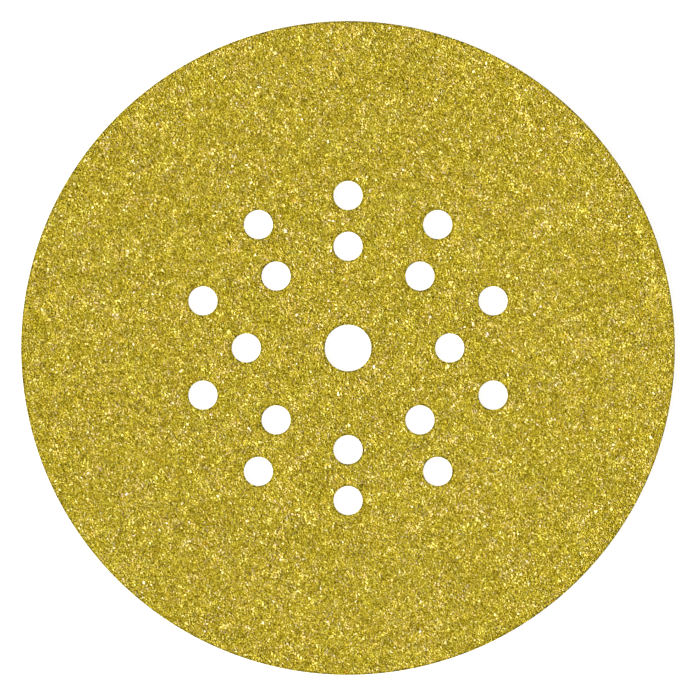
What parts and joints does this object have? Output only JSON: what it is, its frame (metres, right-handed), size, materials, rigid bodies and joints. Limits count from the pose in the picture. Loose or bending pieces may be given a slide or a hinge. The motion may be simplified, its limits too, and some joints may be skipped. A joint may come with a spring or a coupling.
{
  "type": "hook and loop sanding disc",
  "caption": "Round coated abrasive disc with a loop fabric back, a centre hole and two rings of dust extraction holes.",
  "frame": {"origin": "centre of the disc on the underside of the loop fabric, which lies on the floor", "axes": "+Z along the disc's axis, from the loop fabric to the grit; +X through a hole of the inner ring; +Y through a hole of each ring"},
  "size_m": [0.225, 0.225, 0.0018],
  "materials": {
    "loop_fabric": "brushed loop pile, matte",
    "backing_paper": "heavy latex paper, matte",
    "abrasive_coat": "coarse grain in amber resin, sparkling"
  },
  "bodies": {
    "root": {"loop_fabric": "loop_fabric", "backing_paper": "backing_paper", "abrasive_coat": "abrasive_coat"}
  },
  "joints": []
}
